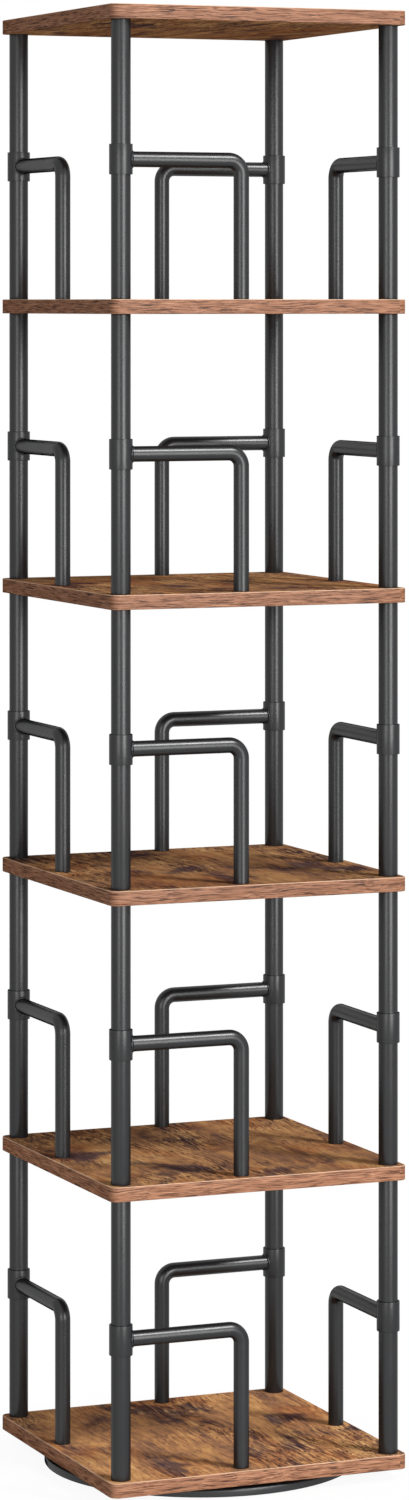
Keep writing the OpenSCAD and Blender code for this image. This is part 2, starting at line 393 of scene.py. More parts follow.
def new_group(name, inputs, outputs):
    """Node group with named sockets: inputs are name to (kind, default), outputs name to kind."""
    group = bpy.data.node_groups.new(name, "ShaderNodeTree")
    for label, (kind, default) in inputs.items():
        made = group.interface.new_socket(label, in_out="INPUT", socket_type=kind)
        if default is not None:
            made.default_value = default
    for label, kind in outputs.items():
        group.interface.new_socket(label, in_out="OUTPUT", socket_type=kind)
    tree = Tree(group)
    return tree, tree.add("NodeGroupInput").outputs, tree.add("NodeGroupOutput").inputs


def fibre_group():
    """Wood fibres along Y: the vector is bent by a slow noise times Wave, then stretched to
    streaks of Width and Length, and again to fibres several times finer."""
    tree, given, result = new_group(
        "wood_fibres",
        {"Vector": (VECTOR, None), "Wave": (FLOAT, 0.006), "Width": (FLOAT, 0.005),
         "Length": (FLOAT, 0.05)},
        {"Bent": VECTOR, "Streaks": FLOAT, "Fibres": FLOAT})

    def vector_math(kind, values):
        return tree.add("ShaderNodeVectorMath", values, operation=kind).outputs[0]

    slow = tree.add("ShaderNodeTexNoise",
                    {"Vector": given["Vector"], "Scale": WAVES, "Detail": 2.0})
    centred = vector_math("SUBTRACT", {0: slow.outputs["Color"], 1: (0.5, 0.5, 0.5)})
    wave = vector_math("SCALE", {0: centred, "Scale": given["Wave"]})
    bent = vector_math("ADD", {0: given["Vector"], 1: wave})
    across = tree.calc("DIVIDE", 1.0, given["Width"])
    along = tree.calc("DIVIDE", 1.0, given["Length"])
    scale = tree.add("ShaderNodeCombineXYZ", {0: across, 1: along, 2: across}).outputs[0]
    coarse = vector_math("MULTIPLY", {0: bent, 1: scale})
    fine = vector_math("MULTIPLY", {0: coarse, 1: FINER})
    tree.link(bent, result["Bent"])
    tree.link(tree.noise(coarse, detail=5.0, rough=0.62, warp=0.4), result["Streaks"])
    tree.link(tree.noise(fine, detail=3.0, rough=0.6), result["Fibres"])
    return tree.tree


def powder_group():
    """Powder coat: fine pimples for the bump, and a slow drift of tone and gloss."""
    tree, given, result = new_group(
        "powder_pimples", {"Vector": (VECTOR, None), "Grain": (FLOAT, 0.0007)},
        {"Height": FLOAT, "Drift": FLOAT})
    scale = tree.calc("DIVIDE", 1.0, given["Grain"])
    pimples = tree.noise(given["Vector"], scale=scale, detail=2.0, rough=0.5)
    drift = tree.noise(given["Vector"], scale=DRIFTS, detail=3.0, rough=0.6)
    tree.link(pimples, result["Height"])
    tree.link(drift, result["Drift"])
    return tree.tree


FIBRES = fibre_group()
POWDER = powder_group()


def fibres_at(tree, vector, wave, width, length):
    """The fibre group at a vector; gives the bent vector, the streaks and the fibres."""
    group = tree.add("ShaderNodeGroup", {"Vector": vector, "Wave": wave, "Width": width,
                                         "Length": length}, node_tree=FIBRES)
    return [group.outputs[label] for label in ("Bent", "Streaks", "Fibres")]


print("groups:", [group.name for group in bpy.data.node_groups])

# %% [markdown]
# The tone of each shelf, and painted light on the bands
#
# Each board and each band takes a tone chosen by its shelf, so some are darker than others.
# On the bands this is painted light: the draw makes the lower bands lighter, where less
# light reaches them. A material for every board would do that, but one is enough: the
# shelves lie one pitch apart, so the height divided by the pitch counts them, and white
# noise turns each number into a chance of its own. A draw added to the number chooses
# which shelves come out light and which dark.

# %% A tone for each shelf
PITCH = tier_floor[1] - tier_floor[0]


def tone_by_shelf(tree, place, draw, colour, lowest):
    """Colour times a tone chosen by the shelf's number, which lies between the lowest and the whole
    colour.
    """
    number = tree.calc("FLOOR", tree.calc("DIVIDE", tree.part(place, 2), PITCH))
    chance = tree.add("ShaderNodeTexWhiteNoise", {"W": tree.calc("ADD", number, draw)},
                      noise_dimensions="1D")
    return tree.mix(chance.outputs["Value"], tree.mix(1.0, colour, lowest, "MULTIPLY"), colour)


print("pitch of the shelves:", round(PITCH, 4))

# %% [markdown]
# The rustic board
#
# The board is particleboard under a printed paper. The print shows short brown strokes that
# run from front to back, some long streaks, calm and lively areas a hand wide, redder
# zones, dark smudges with ragged ends, and fine dark dashes. A photograph of such a paper
# would do, but noise never repeats and stays sharp at any size. The streaks, counted more
# where the area is lively, choose a brown. Redder zones and smudges are multiplied over it,
# like inks, and the smudge's edge is torn by the grain. The dashes come last, and then the
# shelf's tone. The noise reads the height too, so no two boards look alike.

# %% Material of the boards
# Each board's tone, chosen by its shelf, makes some boards darker than others.
BOARD_TONE_DRAW, BOARD_TONE_LOWEST = 9593, screen(200, 200, 204)
LIVELY_CELLS, AREA_CELLS = (9, 5, 21), (11, 8, 23)
LONG_CELLS, STROKE_CELLS = (46, 5, 53), (52, 22, 61)
RED_CELLS, SMUDGE_CELLS = (16, 9, 31), (18, 13, 29)
DASH_CELLS = (300, 62, 300)
BROWNS = [(0.40, screen(104, 79, 69)), (0.455, screen(150, 109, 83)), (0.50, screen(186, 134, 92)),
          (0.545, screen(212, 158, 103)), (0.60, screen(236, 190, 134))]
RED_INK, SMUDGE_INK, DASH_INK = screen(216, 164, 142), screen(147, 156, 208), screen(74, 54, 44)


def board_material():
    """Browns by a weighted sum of noises, then redder zones, torn smudges, dashes and tone."""
    material, tree, shader = new_material("rustic_board", roughness=0.5)
    fading_shine(tree, shader, WOOD_SHINE, WOOD_DULL)
    place = tree.place()
    bent, streaks, fibres = fibres_at(tree, place, 26 * MM, 4 * MM, 55 * MM)

    lively = tree.step(tree.patches(bent, LIVELY_CELLS, detail=2.0), 0.42, 0.58, 0.60, 1.75)
    off = tree.calc("SUBTRACT", tree.weighted((0.60, streaks), (0.40, fibres)), 0.5)
    grain = tree.calc("ADD", tree.calc("MULTIPLY", off, lively), 0.5)
    area = tree.patches(bent, AREA_CELLS, detail=2.0)
    long = tree.patches(bent, LONG_CELLS, detail=4.0, rough=0.6)
    stroke = tree.patches(bent, STROKE_CELLS, detail=5.0, rough=0.68, warp=0.5)
    tone = tree.weighted((0.12, area), (0.20, long), (0.20, stroke), (0.48, grain))
    brown = tree.ramp(tone, BROWNS)

    redder = tree.patches(bent, RED_CELLS, detail=3.0)
    warm = tree.mix(tree.step(redder, 0.48, 0.66, 0.0, 0.45), brown, RED_INK, "MULTIPLY")
    smudge = tree.patches(bent, SMUDGE_CELLS, detail=4.0, rough=0.55, warp=0.3)
    tear = tree.calc("MULTIPLY", tree.calc("SUBTRACT", grain, 0.5), -0.30)
    torn = tree.calc("ADD", smudge, tear)
    smudged = tree.mix(tree.step(torn, 0.50, 0.68), warm, SMUDGE_INK, "MULTIPLY")
    dashes = tree.patches(bent, DASH_CELLS, detail=3.0, rough=0.62)
    marks = tree.calc("MULTIPLY", tree.step(dashes, 0.55, 0.66, 0.0, 0.62), lively, clamp=True)
    marked = tree.mix(marks, smudged, DASH_INK)

    colour = tone_by_shelf(tree, place, BOARD_TONE_DRAW, marked, BOARD_TONE_LOWEST)
    tree.link(colour, shader.inputs["Base Color"])
    tree.link(tree.step(tone, 0.4, 0.6, 0.56, 0.44), shader.inputs["Roughness"])
    raised(tree, shader, grain, 0.2, 0.2 * MM)
    return material


MATERIALS = {"board": board_material()}
print("board:", len(MATERIALS["board"].node_tree.nodes), "nodes")

# %% [markdown]
# The edge band
#
# The band is a strip one millimetre thick, printed with a redder wood and glued round the
# edge. Its grain runs along the strip, round every corner, so it can't be tied to X or Y.
# The band's mesh carries flat coordinates instead: the way along the edge and the height,
# both in metres. The shelf's level is the third coordinate, so that each band differs, and
# each takes a tone by its shelf, which is painted light: the lower bands come out lighter,
# where less light reaches them. Hairline cracks show where a fine noise is high. The upper
# arris is eased, and there a lighter line is painted, partly worn print and partly a
# painted highlight where the arris catches the light.

# %% Material of the edge bands
# The lighter line on the upper arris is partly worn print and partly a painted highlight.
WORN_HIGHLIGHT_FROM, WORN_HIGHLIGHT_WHOLE = 0.8 * MM, 0.45 * MM
# The bands' tone by shelf is painted light: its draw makes the lower bands lighter, where less
# light reaches them.
BAND_PAINTED_LIGHT_DRAW, BAND_PAINTED_LIGHT_LOWEST = 436, screen(222, 222, 224)
SHADE_CELLS, CRACK_CELLS = (60, 16, 60), (760, 32, 760)
RED_BROWNS = [(0.36, screen(62, 36, 25)), (0.43, screen(117, 75, 51)), (0.49, screen(161, 112, 84)),
              (0.57, screen(180, 128, 98)), (0.68, screen(212, 166, 134))]
SHADE_INK, CRACK_INK, WORN_AND_HIGHLIT_WOOD = screen(138, 91, 64), screen(62, 36, 26), screen(234, 198, 166)


def band_material():
    """Red-browns by streaks and fibres along the strip, then shades, cracks, the tone by shelf,
    which is painted light, and the lighter top line, partly worn print and partly painted
    highlight, which starts at a height just below the top."""
    material, tree, shader = new_material("edge_band_print_and_painted_light", roughness=0.5)
    fading_shine(tree, shader, WOOD_SHINE, WOOD_DULL)
    flat = tree.add("ShaderNodeUVMap", uv_map="UVMap").outputs[0]
    way, height, place = tree.part(flat, 0), tree.part(flat, 1), tree.place()
    level = tree.part(place, 2)
    vector = tree.add("ShaderNodeCombineXYZ", {0: height, 1: way, 2: level}).outputs[0]
    bent, streaks, fibres = fibres_at(tree, vector, 12 * MM, 1.2 * MM, 28 * MM)

    grain = tree.weighted((0.7, streaks), (0.3, fibres))
    wood = tree.ramp(grain, RED_BROWNS)
    shades = tree.patches(vector, SHADE_CELLS, detail=2.0)
    shaded = tree.mix(tree.step(shades, 0.45, 0.70, 0.0, 0.35), wood, SHADE_INK)
    cracks = tree.patches(bent, CRACK_CELLS, detail=2.0, rough=0.55)
    cracked = tree.mix(tree.step(cracks, 0.56, 0.63, 0.0, 0.92), shaded, CRACK_INK)
    # Painted light: the tone by shelf makes the lower bands lighter.
    band_toned = tone_by_shelf(tree, place, BAND_PAINTED_LIGHT_DRAW, cracked, BAND_PAINTED_LIGHT_LOWEST)
    # A lighter line at the top: partly worn print, partly a painted highlight.
    worn_and_highlight = tree.step(height, shelf_thick - WORN_HIGHLIGHT_FROM, shelf_thick - WORN_HIGHLIGHT_WHOLE, 0.0, 0.55)
    tree.link(tree.mix(worn_and_highlight, band_toned, WORN_AND_HIGHLIT_WOOD), shader.inputs["Base Color"])
    raised(tree, shader, grain, 0.3, 0.2 * MM)
    return material


MATERIALS["edge_band"] = band_material()
print("edge band:", len(MATERIALS["edge_band"].node_tree.nodes), "nodes")

# %% [markdown]
# Powder coat, rubber and small metal parts
#
# The tubes and the base are sprayed with a charcoal powder and baked, which leaves a satin
# skin with tiny pimples. That is a rough dielectric over a dark colour, with a bump less
# than a millimetre wide. The bearing's rings are turned aluminium, so their shine runs in
# circles: a noise read along the radius only gives the turning marks. Rubber, plastic,
# zinc, steel and brass are plain stock, and one recipe with a fine mottle serves them all.

# %% Materials of the metal, rubber and plastic parts
PIMPLE = 0.9 * MM
TURNING_MARKS = 2600.0


def tone_and_gloss(tree, shader, mask, colours, gloss, tone_ends=(0.35, 0.65)):
    """One mask chooses between two colours and between two roughnesses."""
    tone = tree.step(mask, *tone_ends) if tone_ends else mask
    tree.link(tree.mix(tone, *colours), shader.inputs["Base Color"])
    tree.link(tree.step(mask, 0.3, 0.7, *gloss), shader.inputs["Roughness"])


def powder_material(name, colour, roughness):
    """Powder coat: satin, with pimples and a slow drift of tone."""
    material, tree, shader = new_material(name)
    fading_shine(tree, shader, COAT_SHINE, COAT_DULL)
    powder = tree.add("ShaderNodeGroup", {"Vector": tree.place(), "Grain": PIMPLE},
                      node_tree=POWDER)
    tone_and_gloss(tree, shader, powder.outputs["Drift"], (dimmed(colour, 0.9), colour),
                   (roughness - 0.02, roughness + 0.02))
    raised(tree, shader, powder.outputs["Height"], 0.02, 0.1 * MM)
    return material


def turned_material(name, colour, roughness):
    """Turned metal: the radius from the Z axis, through noise, gives circular marks."""
    material, tree, shader = new_material(name, roughness=roughness, metallic=1.0)
    flat = tree.add("ShaderNodeVectorMath", {0: tree.place(), 1: (1, 1, 0)}, operation="MULTIPLY")
    radius = tree.add("ShaderNodeVectorMath", {0: flat.outputs[0]}, operation="LENGTH")
    line = tree.add("ShaderNodeCombineXYZ", {0: radius.outputs["Value"]}).outputs[0]
    marks = tree.noise(line, scale=TURNING_MARKS, detail=2.0)
    tone_and_gloss(tree, shader, marks, (dimmed(colour, 0.8), colour),
                   (roughness - 0.06, roughness + 0.08), tone_ends=None)
    raised(tree, shader, marks, 0.15, 0.05 * MM)
    return material


def mottled_material(name, colour, roughness, metallic, grain, darkest):
    """Plain stock with a mottle whose grain is a length and whose darkest tone is a share."""
    material, tree, shader = new_material(name, roughness=roughness, metallic=metallic)
    mottle = tree.noise(tree.place(), scale=1 / grain, detail=4.0, rough=0.6)
    tone_and_gloss(tree, shader, mottle, (dimmed(colour, darkest), colour),
                   (roughness - 0.05, roughness + 0.06))
    raised(tree, shader, mottle, 0.1, 0.1 * MM)
    return material


MATERIALS.update({
    "frame_coat": powder_material("frame_powder_coat", screen(25, 26, 28), 0.31),
    "base_coat": powder_material("base_powder_coat", screen(31, 32, 34), 0.36),
    "bearing_ring": turned_material("turned_aluminium", screen(205, 205, 208), 0.32)})
for slot_name, label, colour, roughness, metallic, grain, darkest in (
        ("rubber", "foot_rubber", screen(34, 34, 35), 0.75, 0.0, 1.2 * MM, 0.75),
        ("cage", "cage_plastic", screen(226, 222, 208), 0.5, 0.0, 2 * MM, 0.93),
        ("ball", "polished_steel", screen(222, 222, 226), 0.14, 1.0, 4 * MM, 0.92),
        ("zinc", "zinc_plate", screen(196, 198, 202), 0.34, 1.0, 1.5 * MM, 0.8),
        ("insert", "insert_brass", screen(214, 184, 120), 0.36, 1.0, 1.5 * MM, 0.85)):
    MATERIALS[slot_name] = mottled_material(label, colour, roughness, metallic, grain, darkest)
print("materials:", len(MATERIALS))

# %% [markdown]
# Solids that keep their shape
#
# The boards, the bearing and the fasteners inside the wood are right as they are, so no
# new mesh is made for them. Each solid takes the material of its slot in the record, so
# nothing is left grey.

# %% Materials on the solids
for part in frame["record"]["subparts"]:
    stock = nodes[part["node"]].data.materials
    stock.clear()
    stock.append(MATERIALS[part["material_slot"]])

# %% [markdown]
# Posts
#
# A post is a straight tube cut square, its ends eased by the sander before it was coated.
# A solid's own mesh is flat from facet to facet, which breaks the long highlight that makes
# a tube look round. So each post is a profile turned about its axis: out along the lower
# end, round an arc, up the side, round another, and down the bore.

# %% Posts as turned profiles
POST_WALL = 1.2 * MM
END_EASE = 0.35 * MM
EASE_STEPS = 5
ROUND_STEPS = 64


def tube_profile(inner, outer, low, high, ease):
    """Closed section of a tube's wall, with its outer corners eased by arcs."""
    return np.concatenate([
        [[inner, low]],
        arc((outer - ease, low + ease), ease, -90, 0, EASE_STEPS),
        arc((outer - ease, high - ease), ease, 0, 90, EASE_STEPS),
        [[inner, high]]])


def add_tube(shell, profile):
    """Adds a closed section turned about Z."""
    shell.grid(lathe(profile, ROUND_STEPS), close_rows=True, close_columns=True)


for t, floor_z in enumerate(tier_floor, start=1):
    for c, corner in enumerate(CORNERS):
        tube = Shell()
        add_tube(tube, tube_profile(post_r - POST_WALL, post_r, 0, post_h, END_EASE))
        tube.shifted(-post_xy, -post_xy, floor_z).turned(quarter_turn(c))
        make_piece(f"tube_{t}_{corner}", tube, "carousel", "frame_coat", f"post_{t}_{corner}")
print("posts:", len(CORNERS) * TIERS)

# %% [markdown]
# Bent arms
#
# An arm is a tube bent once. Its sleeve slides on the post, and the tube is welded to it.
# A curve with a bevel would give a tube, but not one that ends exactly on the shelf with an
# eased rim. So the tube is a circle carried along a route of a straight run, a quarter
# circle and a straight leg. The circle stays square to the route, so each point of the
# route brings the direction across it.

# %% Route of an arm, and the circle carried along it
BEND_R = 14 * MM
BEND_STEPS = 19
TUBE_SINK = 1.0 * MM
SLEEVE_H = 31 * MM
FOOT_EASE = 0.4 * MM
arm_rise = sleeve_top - SLEEVE_H / 2


def arm_route():
    """Points of the tube's axis in the plane of X and Z, and the direction across it at each:
    from inside the sleeve's wall along the run, round the bend and down to the foot."""
    bend_x, bend_z = arm_reach - BEND_R, arm_rise - BEND_R
    turn = np.radians(np.linspace(90, 0, BEND_STEPS))
    across = np.stack([np.cos(turn), np.sin(turn)], -1)
    bend = np.array([bend_x, bend_z]) + BEND_R * across
    run = [[sleeve_r - TUBE_SINK, arm_rise]]
    points = np.concatenate([run, bend, [[arm_reach, FOOT_EASE], [arm_reach, 0]]])
    across = np.concatenate([[[0, 1]], across, [[1, 0], [1, 0]]])
    upright = np.array([[1, 0, 0], [0, 0, 1]])
    return points @ upright, across @ upright


def swept_circle(middle, radii, across, other, sides):
    """Grid of a circle carried along points: middle, plus radius times the cosine along one
    direction, plus radius times the sine along the other."""
    angle = np.linspace(0, 2 * np.pi, sides, endpoint=False)[None, :, None]
    return middle[:, None] + radii[:, None, None] * (np.cos(angle) * across + np.sin(angle) * other)


print("arms rise", round(arm_rise, 4), "above the shelf")

# %% [markdown]
# The weld
#
# Where the tube meets the sleeve, the welder leaves a thin bead with small ripples. It lies
# on the curve that the two cylinders share: at an angle round the tube, that is where the
# sleeve's own circle is just as far to the side as the tube's. A plain ring would float off
# the sleeve at its sides, so the bead is a thin circle carried round that curve.

# %% Arms with sleeve and weld
SLEEVE_GAP = 0.2 * MM
WELD_R = 1.3 * MM
WELD_SIDES = 12
RIPPLES, RIPPLE_SHARE = 14, 0.06


def weld_ring():
    """Grid of a thin ring: its middle is on both cylinders, its section is a circle spanned by
    X and the tube's outward direction, and its radius swells with the sine of the ripples."""
    angle = np.linspace(0, 2 * np.pi, ROUND_STEPS, endpoint=False)
    y, z = ARM_R * np.sin(angle), ARM_R * np.cos(angle)
    x = np.sqrt(sleeve_r ** 2 - y ** 2)
    middle = np.stack([x, y, z + arm_rise], -1)
    out = np.stack([0 * angle, np.sin(angle), np.cos(angle)], -1)
    ripple = WELD_R * (1 + RIPPLE_SHARE * np.sin(RIPPLES * angle))
    return swept_circle(middle, ripple, np.array([1.0, 0, 0]), out[:, None], WELD_SIDES)


def arm_shell():
    """Tube, weld and sleeve of one arm, with its post's axis on Z and its shelf at zero."""
    shell = Shell()
    points, across = arm_route()
    radii = np.full(len(points), ARM_R)
    radii[-1] -= FOOT_EASE
    tube = swept_circle(points, radii, across[:, None], np.array([0, 1, 0]), ROUND_STEPS)
    shell.grid(tube, close_columns=True)
    shell.cap(tube[0], turn=True)
    shell.cap(tube[-1])
    shell.grid(weld_ring(), close_rows=True, close_columns=True)
    low, high = arm_rise - SLEEVE_H / 2, arm_rise + SLEEVE_H / 2
    add_tube(shell, tube_profile(post_r + SLEEVE_GAP, sleeve_r, low, high, END_EASE))
    return shell


for t, floor_z in enumerate(tier_floor, start=1):
    for c, corner in enumerate(CORNERS):
        arm = arm_shell().shifted(-post_xy, -post_xy, floor_z).turned(quarter_turn(c))
        make_piece(f"bent_arm_{t}_{corner}", arm, "carousel", "frame_coat", f"arm_{t}_{corner}")
print("arms:", len(CORNERS) * TIERS)

# %% [markdown]
# Edge bands
#
# The band follows the shelf's outline, a square with rounded corners. A Bevel on a box
# would give the form, but not the way along the edge that the print needs. So the outline
# is one closed route: for each corner an arc, and straight sides between them. At every
# point of it the strip's own section stands upright: an outer face with two eased arrises,
# and a flat back on the board. The way along the route goes into the flat coordinates.

# %% Outline of a shelf
CORNER_R = 9 * MM
CORNER_STEPS, SIDE_STEPS = 10, 12


def outline(side, radius):
    """Points and outward directions along a square with rounded corners, from the right end
    of the front side, counter-clockwise from above, with the way walked so far."""
    reach = side / 2 - radius
    points, outward = [], []
    for c in range(4):
        turn = np.radians(np.linspace(-90, 0, CORNER_STEPS) + 90 * c)
        middle = quarter_turn(c)[:2, :2] @ np.array([reach, -reach])
        out = np.stack([np.cos(turn), np.sin(turn)], -1)
        points.append(middle + radius * out)
        outward.append(out)
        start = points[-1][-1]
        end = quarter_turn(c)[:2, :2] @ np.array([side / 2, reach])
        share = np.linspace(0, 1, SIDE_STEPS, endpoint=False)[1:, None]
        points.append(start + (end - start) * share)
        outward.append(np.repeat(out[-1:], SIDE_STEPS - 1, 0))
    points, outward = np.concatenate(points), np.concatenate(outward)
    steps = np.linalg.norm(np.roll(points, -1, 0) - points, axis=1)
    return points, outward, np.concatenate([[0], np.cumsum(steps)])


band_low, band_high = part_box("shelf_edge_bands")
shelf_side = band_high[0] - band_low[0]
print("way round a shelf:", round(outline(shelf_side, CORNER_R)[2][-1], 4))

# %% [markdown]
# The strip on the outline
#
# Each face needs flat coordinates for its four corners. The last face round the shelf ends
# at the whole way walked and not at zero, so the print isn't squeezed back there.

# %% Bands round the shelves
BAND_THICK = 1.05 * MM
ARRIS = 0.6 * MM
BAND_SINK = 0.02 * MM
BAND_SHARP_DEG = 60


def band_shell(side, low, high):
    """Grid of the band: rows along the outline, columns round the strip's section."""
    points, outward, way = outline(side, CORNER_R)
    section = np.concatenate([
        arc((-ARRIS, low + ARRIS), ARRIS, -90, 0, EASE_STEPS),
        arc((-ARRIS, high - ARRIS), ARRIS, 0, 90, EASE_STEPS),
        [[-BAND_THICK, high - BAND_SINK]], [[-BAND_THICK, low + BAND_SINK]]])
    depth, height = section[:, 0], section[:, 1]
    level = np.broadcast_to(height[None, :, None], (len(points), len(section), 1))
    grid = np.concatenate([points[:, None] + depth[None, :, None] * outward[:, None], level], -1)
    rows, columns = grid.shape[:2]
    i, j = np.meshgrid(np.arange(rows), np.arange(columns), indexing="ij")
    next_j = (j + 1) % columns
    flat = np.stack([np.stack([way[a], height[b] - low], -1)
                     for a, b in ((i, j), (i, next_j), (i + 1, next_j), (i + 1, j))], 2)
    shell = Shell()
    shell.grid(grid, close_rows=True, close_columns=True, flat=flat.reshape(-1, 2))
    return shell


for i in range(1, SHELVES + 1):
    low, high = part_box(f"shelf_{i}")
    make_piece(f"edge_band_{i}", band_shell(shelf_side, low[2], high[2]), "carousel", "edge_band",
               "shelf_edge_bands", sharp_deg=BAND_SHARP_DEG)
print("bands:", SHELVES)

# %% [markdown]
# Pressed base
#
# The base is one disc of steel sheet. A press rolls its rim down and sinks a well for the
# bearing, so its section is one line of even thickness with rounded bends, turned about
# the axis. Six holes for the ring's screws and one for a screwdriver are then cut with a
# Boolean, since a round hole off the axis is no part of a turned shape.

# %% Section of the base, and a drill
SHEET = 1.5 * MM
RIM_BEND = 2.5 * MM
RIM_EASE = 0.6 * MM
WELL_R = 100 * MM
WELL_BEND = 2.0 * MM
WELL_EASE = 0.5 * MM
WELL_FLOOR = 2.5 * MM
WELL_HOLE_R = 45 * MM
DRILL_LOW, DRILL_HIGH = -10 * MM, 20 * MM
HOLE_STEPS = 32
CUT_MERGE = 2e-6


def pan_profile():
    """Closed section of the base: the underside outwards, round the rim, the top inwards."""
    low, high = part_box("base_pan")
    rim_r, bottom, top = high[0], low[2], high[2]
    under, floor_top = top - SHEET, WELL_FLOOR + SHEET
    wall_r = WELL_R + SHEET
    rim_middle = (rim_r - RIM_BEND, top - RIM_BEND)
    return np.concatenate([
        [[WELL_HOLE_R, WELL_FLOOR]],
        arc((wall_r - WELL_BEND, WELL_FLOOR + WELL_BEND), WELL_BEND, -90, 0, 6),
        arc((wall_r + WELL_EASE, under - WELL_EASE), WELL_EASE, 180, 90, 4),
        arc(rim_middle, RIM_BEND - SHEET, 90, 0, 5),
        [[rim_r - SHEET, bottom + RIM_EASE]],
        arc((rim_r - RIM_EASE, bottom + RIM_EASE), RIM_EASE, -90, 0, 5),
        arc(rim_middle, RIM_BEND, 0, 90, 9),
        arc((WELL_R + WELL_BEND, top - WELL_BEND), WELL_BEND, 90, 180, 6),
        arc((WELL_R - WELL_EASE, floor_top + WELL_EASE), WELL_EASE, 0, -90, 4),
        [[WELL_HOLE_R, floor_top]]])


def drilled(piece, places):
    """Cuts round upright holes, given as (x, y, radius), right through a piece."""
    drills = Shell()
    for x, y, radius in places:
        rod = np.array([[0, DRILL_LOW], [radius, DRILL_LOW], [radius, DRILL_HIGH], [0, DRILL_HIGH]])
        drills.grid(lathe(rod, HOLE_STEPS) + np.array([x, y, 0]), close_columns=True)
    tool = object_of("drills", mesh_of("drills", drills))
    join_close_points(tool.data)
    cut = piece.modifiers.new("holes", "BOOLEAN")
    cut.operation, cut.solver, cut.object = "DIFFERENCE", "EXACT", tool
    graph = bpy.context.evaluated_depsgraph_get()
    result = bpy.data.meshes.new_from_object(piece.evaluated_get(graph))
    piece.modifiers.clear()
    piece.data = result
    join_close_points(result, CUT_MERGE, flatten=True)
    result.shade_smooth()
    result.set_sharp_from_angle(angle=math.radians(SHARP_DEG))
    bpy.data.objects.remove(tool)


print("section of the base:", len(pan_profile()), "points")

# %% [markdown]
# Holes and where they lie
#
# The ring's six screws stand on one circle, and the screwdriver's hole lies where the outer
# ring's screws pass over it, so that the shelf is turned to bring each screw to the hole.

# %% The base with its holes
PAN_STEPS = 192
RING_SCREW_R = 67.65 * MM
RING_SCREW_HOLE_R = 2.2 * MM
ACCESS_AT, ACCESS_R = 87.85 * MM, 6 * MM
sixths = np.radians(np.arange(6) * 60)

pan = Shell()
pan.grid(lathe(pan_profile(), PAN_STEPS), close_rows=True, close_columns=True)
base_piece = make_piece("pressed_base", pan, "base", "base_coat", "base_pan")
screw_holes = [(RING_SCREW_R * math.cos(a), RING_SCREW_R * math.sin(a), RING_SCREW_HOLE_R)
               for a in sixths]
drilled(base_piece, screw_holes + [(ACCESS_AT, 0, ACCESS_R)])
print("base faces:", len(base_piece.data.polygons))

# %% [markdown]
# Rubber feet
#
# Six moulded feet lift the rim off the floor. Each is again a turned profile: a short disc
# with a rounded edge and a dimple in its face.

# %% Feet
FOOT_R = 9 * MM
FOOT_EDGE = 1 * MM
FOOT_STEPS = 40
DIMPLE_R, DIMPLE_MOUTH_R, DIMPLE_H = 3 * MM, 3.9 * MM, 1.2 * MM

feet_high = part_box("rubber_feet")[1]
foot_h, foot_at = feet_high[2], feet_high[0] - FOOT_R
foot_profile = np.concatenate([
    [[0, DIMPLE_H]],
    arc((DIMPLE_R, DIMPLE_H / 2), DIMPLE_H / 2, 90, 0, 4),
    [[DIMPLE_MOUTH_R, 0]],
    arc((FOOT_R - FOOT_EDGE, FOOT_EDGE), FOOT_EDGE, -90, 0, 6),
    [[FOOT_R, foot_h]], [[0, foot_h]]])
for i, a in enumerate(sixths, start=1):
    foot = Shell()
    foot.grid(lathe(foot_profile, FOOT_STEPS), close_columns=True)
    foot.shifted(foot_at * math.cos(a), foot_at * math.sin(a), 0)
    make_piece(f"foot_{i}", foot, "base", "rubber", "rubber_feet")
print("feet:", len(sixths))

# %% [markdown]
# Screws with a hexagon socket
#
# Bolts hold the lowest posts, and a screw holds the foot of each arm. Their heads lie in
# counterbores under the shelves, where a look from below finds them. A socket could be cut
# with a Boolean, but one grid makes the whole screw: rings from the middle of the socket
# outwards, then down the head and the shank. The socket's rings follow a hexagon, whose
# distance from the middle is the distance to its side divided by the cosine of the angle
# from that side's middle.

# %% Shape of a screw
SCREW_STEPS = 48
SOCKET_DEPTH, SOCKET_BEVEL, SOCKET_MOUTH = 0.55, 0.08, 1.08
HEAD_EASE = 0.12
TIP_EASE = 0.5 * MM


def screw_shell(head_r, head_h, shank_r, length, flat):
    """Socket screw standing on its head at the origin; flat is the distance to a side of the
    socket. Depth, bevel and ease are shares of the head's height."""
    angle = np.linspace(0, 2 * np.pi, SCREW_STEPS, endpoint=False)
    hexagon = flat / np.cos((angle + np.pi / 6) % (np.pi / 3) - np.pi / 6)
    depth, ease = SOCKET_DEPTH * head_h, HEAD_EASE * head_h
    round_rings = np.concatenate([
        [[head_r - ease, 0]], arc((head_r - ease, ease), ease, -60, 0, 4), [[head_r, head_h]],
        [[shank_r, head_h]], [[shank_r, length - TIP_EASE]], [[shank_r - TIP_EASE, length]],
        [[0, length]]])
    radii = np.stack([0 * hexagon, hexagon, hexagon, SOCKET_MOUTH * hexagon]
                     + [np.full(SCREW_STEPS, r) for r in round_rings[:, 0]])
    heights = np.concatenate([[depth, depth, SOCKET_BEVEL * head_h, 0], round_rings[:, 1]])
    level = np.broadcast_to(heights[:, None], radii.shape)
    shell = Shell()
    shell.grid(np.stack([radii * np.cos(angle), radii * np.sin(angle), level], -1),
               close_columns=True)
    return shell


print("screws turned in", SCREW_STEPS, "steps")

# %% [markdown]
# Where the screws go
#
# The three kinds have stock sizes: head radius, head height, shank radius, length, and the
# distance to a side of the socket.

# %% Bolts and screws
POST_BOLT = (6.5 * MM, 5 * MM, 4 * MM, 26.5 * MM, 3 * MM)
ARM_SCREW = (4.5 * MM, 3 * MM, 2.5 * MM, 24.5 * MM, 1.5 * MM)
RING_SCREW = (3.75 * MM, 1.8 * MM, 2 * MM, 8.3 * MM, 1.25 * MM)
HEAD_SINK = 0.5 * MM

